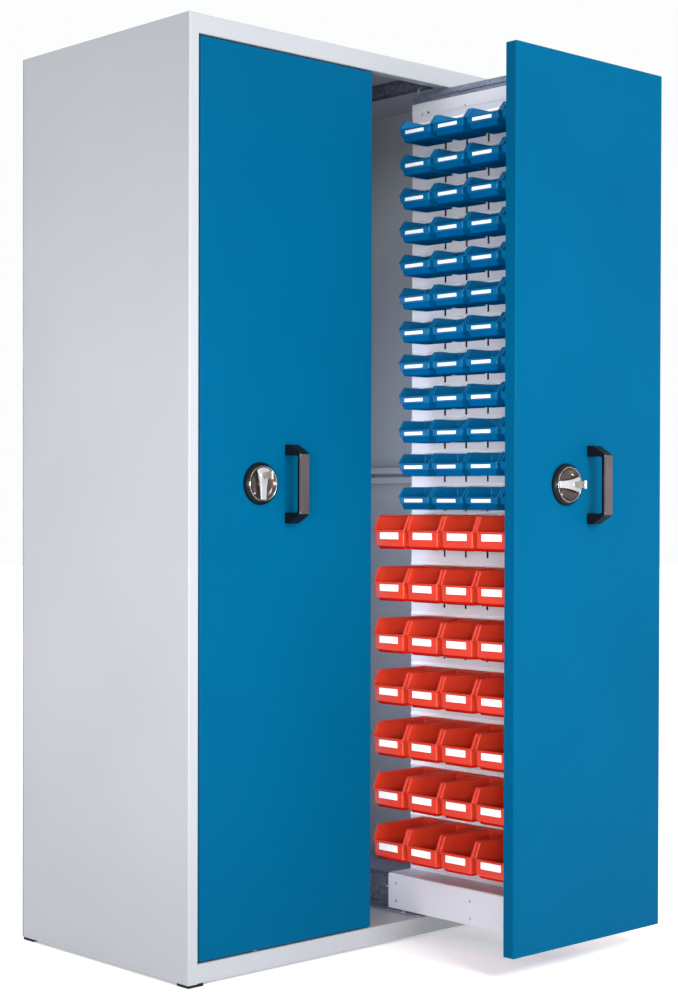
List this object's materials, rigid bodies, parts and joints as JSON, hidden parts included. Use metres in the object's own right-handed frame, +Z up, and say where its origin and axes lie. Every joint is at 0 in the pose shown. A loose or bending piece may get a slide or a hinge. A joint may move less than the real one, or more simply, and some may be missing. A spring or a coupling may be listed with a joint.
{
  "type": "vertical pull-out bin cabinet",
  "caption": "Tall steel cabinet with vertical pull-outs on telescopic runners, each with a louvred panel of hung open-fronted bins, a bow handle and a locking swivel latch.",
  "frame": {"origin": "floor level directly below the middle of the lower edge of the back panel outer face", "axes": "+Z up, +Y towards the rear (the wall behind the cabinet), +X to the right as seen from the front; the pull-outs open towards -Y"},
  "size_m": [1, 1.07, 1.95],
  "materials": {
    "casing_coat": "light grey powder coat, satin",
    "front_coat": "blue powder coat, satin",
    "panel_coat": "light grey powder coat, satin",
    "galvanised_steel": "galvanised, dull",
    "bright_steel": "bright zinc plated",
    "black_plastic": "fine texture",
    "grip_plastic": "satin",
    "diecast_lever": "satin silver diecast",
    "nylon": "natural white nylon",
    "blue_bin_plastic": "satin polypropylene",
    "red_bin_plastic": "satin polypropylene"
  },
  "bodies": {
    "cabinet": {"left_side_panel": "casing_coat", "right_side_panel": "casing_coat", "back_panel": "casing_coat", "top_panel": "casing_coat", "bottom_panel": "casing_coat", "foot_front_left": "black_plastic", "foot_front_right": "black_plastic", "foot_rear_left": "black_plastic", "foot_rear_right": "black_plastic", "side_guide_rail": "casing_coat", "left_runner_support": "galvanised_steel", "left_top_guide_rail": "galvanised_steel", "left_runner_fixed_lhs": "galvanised_steel", "left_runner_fixed_rhs": "galvanised_steel", "right_runner_support": "galvanised_steel", "right_top_guide_rail": "galvanised_steel", "right_runner_fixed_lhs": "galvanised_steel", "right_runner_fixed_rhs": "galvanised_steel"},
    "left_runner_middle": {"left_runner_middle_lhs": "galvanised_steel", "left_runner_middle_rhs": "galvanised_steel"},
    "left_pullout": {"left_front_panel": "front_coat", "left_front_post": "panel_coat", "left_bin_panel": "panel_coat", "left_top_beam": "galvanised_steel", "left_carriage": "panel_coat", "left_handle": "grip_plastic", "left_latch_housing": "black_plastic", "left_runner_moving_lhs": "galvanised_steel", "left_runner_moving_rhs": "galvanised_steel", "left_blue_bins_lhs": "blue_bin_plastic", "left_blue_bins_rhs": "blue_bin_plastic", "left_red_bins_lhs": "red_bin_plastic", "left_red_bins_rhs": "red_bin_plastic"},
    "left_guide_roller": {"left_guide_roller": "nylon"},
    "left_latch_lever": {"left_lever": "diecast_lever", "left_latch_cam": "galvanised_steel"},
    "left_key": {"left_key": "bright_steel"},
    "left_upper_rod": {"left_upper_rod": "bright_steel"},
    "left_lower_rod": {"left_lower_rod": "bright_steel"},
    "right_runner_middle": {"right_runner_middle_lhs": "galvanised_steel", "right_runner_middle_rhs": "galvanised_steel"},
    "right_pullout": {"right_front_panel": "front_coat", "right_front_post": "panel_coat", "right_bin_panel": "panel_coat", "right_top_beam": "galvanised_steel", "right_carriage": "panel_coat", "right_handle": "grip_plastic", "right_latch_housing": "black_plastic", "right_runner_moving_lhs": "galvanised_steel", "right_runner_moving_rhs": "galvanised_steel", "right_blue_bins_lhs": "blue_bin_plastic", "right_blue_bins_rhs": "blue_bin_plastic", "right_red_bins_lhs": "red_bin_plastic", "right_red_bins_rhs": "red_bin_plastic"},
    "right_guide_roller": {"right_guide_roller": "nylon"},
    "right_latch_lever": {"right_lever": "diecast_lever", "right_latch_cam": "galvanised_steel"},
    "right_key": {"right_key": "bright_steel"},
    "right_upper_rod": {"right_upper_rod": "bright_steel"},
    "right_lower_rod": {"right_lower_rod": "bright_steel"}
  },
  "joints": [
    {"name": "left_pullout_slide", "type": "slide", "parent": "cabinet", "child": "left_pullout", "axis": [0, -1, 0], "range_m": [0, 0.46]},
    {"name": "left_runner_slide", "type": "slide", "parent": "cabinet", "child": "left_runner_middle", "axis": [0, -1, 0], "range_m": [0, 0.23]},
    {"name": "left_lever_turn", "type": "hinge", "parent": "left_pullout", "child": "left_latch_lever", "pos_m": [-0.317, -0.6, 1.012], "axis": [0, 1, 0], "range_deg": [0, 90]},
    {"name": "left_key_turn", "type": "hinge", "parent": "left_latch_lever", "child": "left_key", "pos_m": [-0.317, -0.6, 1.029], "axis": [0, 1, 0], "range_deg": [0, 90]},
    {"name": "left_upper_rod_slide", "type": "slide", "parent": "left_pullout", "child": "left_upper_rod", "axis": [0, 0, 1], "range_m": [-0.012, 0]},
    {"name": "left_lower_rod_slide", "type": "slide", "parent": "left_pullout", "child": "left_lower_rod", "axis": [0, 0, -1], "range_m": [-0.012, 0]},
    {"name": "left_roller_spin", "type": "hinge", "parent": "left_pullout", "child": "left_guide_roller", "pos_m": [-0.23675, -0.079, 1.931], "axis": [0, 0, 1], "continuous": true},
    {"name": "right_pullout_slide", "type": "slide", "parent": "cabinet", "child": "right_pullout", "axis": [0, -1, 0], "range_m": [-0.42, 0.04]},
    {"name": "right_runner_slide", "type": "slide", "parent": "cabinet", "child": "right_runner_middle", "axis": [0, -1, 0], "range_m": [-0.21, 0.02]},
    {"name": "right_lever_turn", "type": "hinge", "parent": "right_pullout", "child": "right_latch_lever", "pos_m": [0.1565, -1.02, 1.012], "axis": [0, 1, 0], "range_deg": [-90, 0]},
    {"name": "right_key_turn", "type": "hinge", "parent": "right_latch_lever", "child": "right_key", "pos_m": [0.1735, -1.02, 1.012], "axis": [0, 1, 0], "range_deg": [0, 90]},
    {"name": "right_upper_rod_slide", "type": "slide", "parent": "right_pullout", "child": "right_upper_rod", "axis": [0, 0, 1], "range_m": [0, 0.012]},
    {"name": "right_lower_rod_slide", "type": "slide", "parent": "right_pullout", "child": "right_lower_rod", "axis": [0, 0, -1], "range_m": [0, 0.012]},
    {"name": "right_roller_spin", "type": "hinge", "parent": "right_pullout", "child": "right_guide_roller", "pos_m": [0.23675, -0.499, 1.931], "axis": [0, 0, 1], "continuous": true}
  ],
  "couplings": [
    {"joint": "left_runner_slide", "follows": "left_pullout_slide", "ratio": 0.5},
    {"joint": "left_upper_rod_slide", "follows": "left_lever_turn", "m_per_rad": -0.0076394},
    {"joint": "left_lower_rod_slide", "follows": "left_lever_turn", "m_per_rad": -0.0076394},
    {"joint": "right_runner_slide", "follows": "right_pullout_slide", "ratio": 0.5},
    {"joint": "right_upper_rod_slide", "follows": "right_lever_turn", "m_per_rad": -0.0076394},
    {"joint": "right_lower_rod_slide", "follows": "right_lever_turn", "m_per_rad": -0.0076394}
  ]
}
